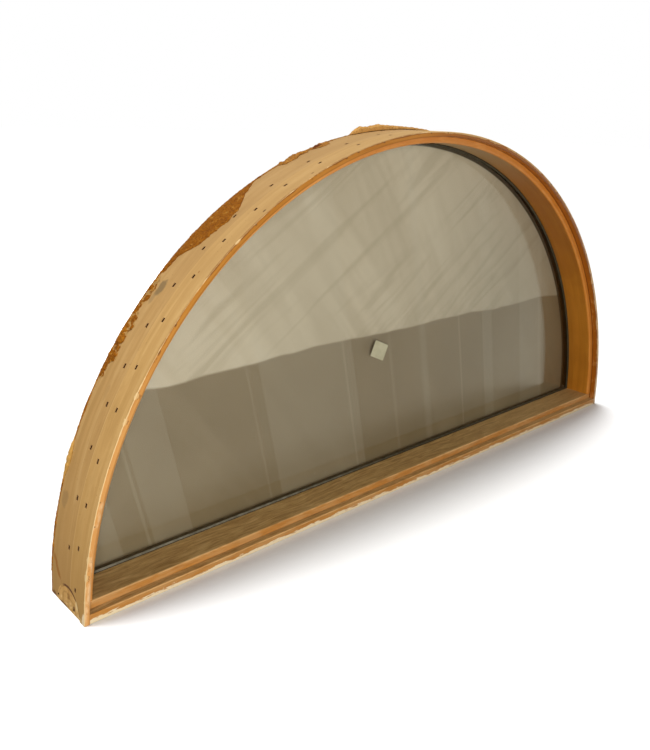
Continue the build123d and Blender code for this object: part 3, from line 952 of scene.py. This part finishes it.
# Thin crust that the foam left along the rear edge, between and below the patches
crust_start = math.radians(174)
crust_end = math.radians(98)
crust_step = 1.5 * mm
crust_width = 7 * mm
crust_height = 2.4 * mm
crust_bulge_height = 3.6 * mm
crust_broad_size = 40 * mm
crust_fine_size = 7 * mm
crust_seat = 0.1 * mm
crust_profile = ((1.0, 0.0), (0.75, 0.7), (0.35, 1.0), (0.04, 0.75), (0.0, 0.0))


def foam_crust(material):
    """Ragged ridge along the rear outer edge, with its width and height from noise."""
    count = int((crust_start - crust_end) * outer_radius / crust_step)
    work = bmesh.new()
    rows = []
    for index in range(count + 1):
        turn = crust_start + (crust_end - crust_start) * index / count
        way = Vector((turn * outer_radius, 0.0, 0.0))
        broad = noise.fractal(way / crust_broad_size, 1.0, 2.0, 3)
        fine = noise.fractal(way / crust_fine_size + Vector((0.0, 3.1, 0.0)), 0.9, 2.0, 3)
        share = min(1.0, max(0.2, 0.45 + 0.45 * broad + 0.35 * fine))
        bulge = max(0.0, 1 - ((turn - bulge_turn) / bulge_reach) ** 2)
        height = crust_height * share + crust_bulge_height * bulge * (0.8 + 0.25 * fine)
        share = max(share, 1.4 * bulge)
        row = []
        for inward, rise in crust_profile:
            radius = outer_radius + crust_seat + height * rise
            y = rear_y - crust_width * share * inward
            row.append(work.verts.new((radius * math.cos(turn), y, axis_z + radius * math.sin(turn))))
        rows.append(row)
    for first, second in zip(rows, rows[1:]):
        for place in range(len(crust_profile)):
            beside = (place + 1) % len(crust_profile)
            work.faces.new((first[place], first[beside], second[beside], second[place]))
    work.faces.new(rows[0])
    work.faces.new(rows[-1])
    bmesh.ops.recalc_face_normals(work, faces=work.faces)
    mesh = bpy.data.meshes.new("foam_crust")
    work.to_mesh(mesh)
    work.free()
    finish_foam(mesh, "foam_crust", material)


# Stage, light and camera

def seen_path(tree):
    """1 for rays from the camera, from gloss and through glass, 0 for light that bounces."""
    path = tree.nodes.new("ShaderNodeLightPath")
    first = tree.nodes.new("ShaderNodeMath")
    second = tree.nodes.new("ShaderNodeMath")
    first.operation = second.operation = "MAXIMUM"
    tree.links.new(path.outputs["Is Camera Ray"], first.inputs[0])
    tree.links.new(path.outputs["Is Glossy Ray"], first.inputs[1])
    tree.links.new(first.outputs[0], second.inputs[0])
    tree.links.new(path.outputs["Is Transmission Ray"], second.inputs[1])
    return second.outputs[0]


def floor():
    """Large floor that keeps the shadow: white to the eye, greyer to the light that bounces off it."""
    work = bmesh.new()
    bmesh.ops.create_grid(work, x_segments=1, y_segments=1, size=floor_reach)
    mesh = bpy.data.meshes.new("floor")
    work.to_mesh(mesh)
    work.free()
    plane = bpy.data.objects.new("floor", mesh)
    plane.location.z = -floor_drop
    bpy.context.scene.collection.objects.link(plane)
    shader = Shader("floor_white")
    grey = (floor_bounce, floor_bounce, floor_bounce, 1.0)
    colour = shader.mix(seen_path(shader.tree), grey, white)
    shader.surface(Base_Color=colour, Roughness=1.0, Specular_IOR_Level=0.0)
    mesh.materials.append(shader.material)


def world():
    """Even surroundings: plain light on the object, white where the camera, gloss or glass sees them."""
    scene_world = bpy.data.worlds.new("studio")
    bpy.context.scene.world = scene_world
    scene_world.use_nodes = True
    tree = scene_world.node_tree
    tree.nodes.clear()
    plain = tree.nodes.new("ShaderNodeBackground")
    plain.inputs["Strength"].default_value = world_strength
    bright = tree.nodes.new("ShaderNodeBackground")
    for background in (plain, bright):
        background.inputs["Color"].default_value = white
    mixed = tree.nodes.new("ShaderNodeMixShader")
    tree.links.new(seen_path(tree), mixed.inputs[0])
    tree.links.new(plain.outputs[0], mixed.inputs[1])
    tree.links.new(bright.outputs[0], mixed.inputs[2])
    output = tree.nodes.new("ShaderNodeOutputWorld")
    tree.links.new(mixed.outputs[0], output.inputs["Surface"])


def place_light(name, lamp, direction):
    holder = bpy.data.objects.new(name, lamp)
    holder.rotation_euler = direction.to_track_quat("-Z", "Y").to_euler()
    bpy.context.scene.collection.objects.link(holder)
    return holder


def lights():
    """Broad light from above, and soft lamps at the left and behind, which the glass doesn't mirror."""
    top = bpy.data.lights.new("top_light", "SUN")
    top.energy = top_strength
    top.angle = top_softness
    place_light("top_light", top, top_direction)
    lamps = (
        ("room_light", lamp_place, lamp_aim, lamp_power),
        ("rear_light", rear_lamp_place, rear_lamp_aim, rear_lamp_power),
    )
    for name, place, aim, power in lamps:
        lamp = bpy.data.lights.new(name, "AREA")
        lamp.energy = power
        lamp.size = lamp_size
        holder = place_light(name, lamp, aim - place)
        holder.location = place
        holder.visible_camera = False
        holder.visible_glossy = False


def camera():
    """Camera at the photograph's place; the turn carries frame axes to right, down and forward."""
    turn = Matrix.Rotation(camera_turn.length, 3, camera_turn.normalized())
    right, down, forward = turn.row
    matrix = Matrix((right, -down, -forward)).transposed().to_4x4()
    matrix.translation = camera_place
    lens = bpy.data.cameras.new("view")
    lens.sensor_width = sensor_width
    lens.lens = focal_pixels * sensor_width / image_height
    lens.clip_start = camera_near
    holder = bpy.data.objects.new("view", lens)
    holder.matrix_world = matrix
    bpy.context.scene.collection.objects.link(holder)
    bpy.context.scene.camera = holder


def dress(material, *names):
    """Give CAD nodes a material."""
    for name in names:
        mesh = nodes[name].data
        mesh.materials.clear()
        mesh.materials.append(material)


dress(jamb_material(), "arch_jamb")
dress(stop_material(), "arch_interior_stop")
dress(sill_material("sill_stop_wood", stop_low.y, sill_stop_high.z), "sill_interior_stop")
dress(sill_material("sill_board_wood", front_y, sill_top), "sill_board")
dress(exterior_material(), "arch_exterior_stop", "sill_exterior_stop")
dress(clear_glass(), "inner_pane")
dress(dust_and_painted_reflection_glass(), "outer_pane")
dress(seal_material(), "interior_seal", "exterior_seal")
dress(spacer_material(), "spacer_bar")
dress(plain_material("black_sealant", rgb(20, 16, 9), rgb(36, 30, 18), 60.0, 0.6, 0.2), "edge_sealant")
dress(plain_material("block_rubber", rgb(24, 24, 25), rgb(44, 43, 42), 90.0, 0.8),
      "setting_blocks", "edge_blocks")
dress(plain_material("rusty_steel", rgb(34, 16, 7), rgb(56, 28, 11), 300.0, 0.9, 0.1),
      "arch_stop_nails", "corner_nails")
dress(plain_material("sticker_paper", rgb(178, 171, 138), rgb(194, 187, 154), 50.0, 0.7), "glass_sticker")

foam = foam_material()
for index, name in enumerate(foam_forms):
    foam_piece(name, index, foam)
foam_crust(foam)

floor()
world()
lights()
camera()
bpy.context.scene.view_settings.view_transform = "Standard"
